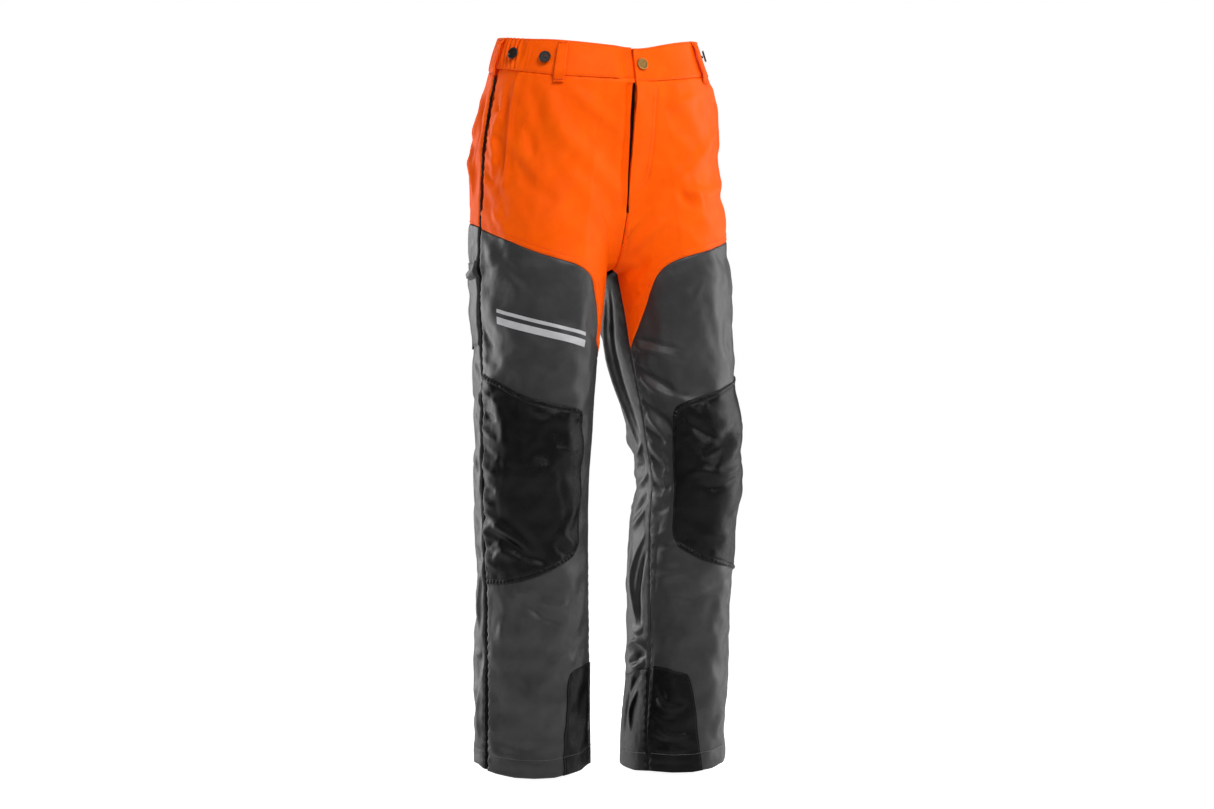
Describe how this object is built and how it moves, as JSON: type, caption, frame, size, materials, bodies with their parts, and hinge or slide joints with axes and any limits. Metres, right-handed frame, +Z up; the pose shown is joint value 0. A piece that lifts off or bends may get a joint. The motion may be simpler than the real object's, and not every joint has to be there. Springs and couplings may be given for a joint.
{
  "type": "protective forestry trousers",
  "caption": "Chainsaw-protective work trousers: orange seat, grey legs, black knee and ankle patches, layered fibre inlays, button waist and fly zip.",
  "frame": {"origin": "middle of the garment's box at hem height", "axes": "+Z up the body; the front faces -Y; the wearer's right side is -X"},
  "size_m": [0.4097, 0.2752, 1.065],
  "materials": {
    "orange_cloth": "hi-vis orange woven twill, satin",
    "grey_cloth": "charcoal grey woven twill",
    "black_cloth": "black coated abrasion-resistant weave",
    "band_cloth": "hi-vis orange woven twill, doubled and stitched",
    "black_webbing": "black woven tape",
    "lining_cloth": "thin woven lining",
    "fibre_layers": "loose long-fibre knit layers",
    "elastic": "woven elastic",
    "pocketing": "plain pocketing cloth",
    "hook_loop": "hook-and-loop tape",
    "thread": "sewing thread",
    "print_film": "heat-set reflective film, plain bars",
    "brass": "brushed brass",
    "zip_metal": "stamped brass",
    "button_plastic": "moulded black resin"
  },
  "bodies": {
    "trousers": {"back_pocket": "orange_cloth", "back_pocket_loop_tape": "hook_loop", "belt_loops": "orange_cloth", "boot_patch_left": "black_cloth", "boot_patch_right": "black_cloth", "braces_button_threads": "thread", "braces_buttons": "button_plastic", "fly_facing_left": "orange_cloth", "fly_guard_right": "orange_cloth", "front_pocket_bag_left": "pocketing", "front_pocket_bag_right": "pocketing", "front_pocket_facing_left": "orange_cloth", "front_pocket_facing_right": "orange_cloth", "hem_facing_left": "grey_cloth", "hem_facing_right": "grey_cloth", "knee_patch_left": "black_cloth", "knee_patch_right": "black_cloth", "leg_back_left": "grey_cloth", "leg_back_right": "grey_cloth", "leg_front_left": "grey_cloth", "leg_front_right": "grey_cloth", "lining_left": "lining_cloth", "lining_right": "lining_cloth", "ruler_pocket": "black_cloth", "ruler_pocket_tab": "black_webbing", "saw_protection_left": "fibre_layers", "saw_protection_right": "fibre_layers", "thigh_print_bars": "print_film", "upper_back_left": "orange_cloth", "upper_back_right": "orange_cloth", "upper_front_left": "orange_cloth", "upper_front_right": "orange_cloth", "waist_button_tack": "brass", "waistband_back": "band_cloth", "waistband_elastic": "elastic", "waistband_front_left": "band_cloth", "waistband_front_right": "band_cloth", "zip_stops": "zip_metal", "zip_tape_left": "black_webbing", "zip_tape_right": "black_webbing", "zip_teeth_left": "zip_metal", "zip_teeth_right": "zip_metal"},
    "slider": {"zip_slider": "zip_metal"},
    "pull_tab": {"zip_pull_tab": "zip_metal"},
    "waist_button": {"waist_button_cap": "brass"},
    "pocket_flap": {"back_pocket_flap": "orange_cloth", "back_pocket_hook_tape": "hook_loop"}
  },
  "joints": [
    {"name": "zip_slide", "type": "slide", "parent": "trousers", "child": "slider", "axis": [0, 0.1427, -0.9898], "range_m": [0, 0.13]},
    {"name": "pull_tab_hinge", "type": "hinge", "parent": "slider", "child": "pull_tab", "pos_m": [0.01503, -0.11272, 0.97572], "axis": [-1, 0, 0], "range_deg": [0, 12]},
    {"name": "waist_button_swivel", "type": "hinge", "parent": "trousers", "child": "waist_button", "pos_m": [0.01453, -0.11503, 1.0165], "axis": [0.0443, -0.9641, 0.2618], "continuous": true},
    {"name": "pocket_flap_hinge", "type": "hinge", "parent": "trousers", "child": "pocket_flap", "pos_m": [-0.0915, 0.12158, 0.94124], "axis": [0.9395, 0.3425, 0], "range_deg": [0, 80]}
  ]
}
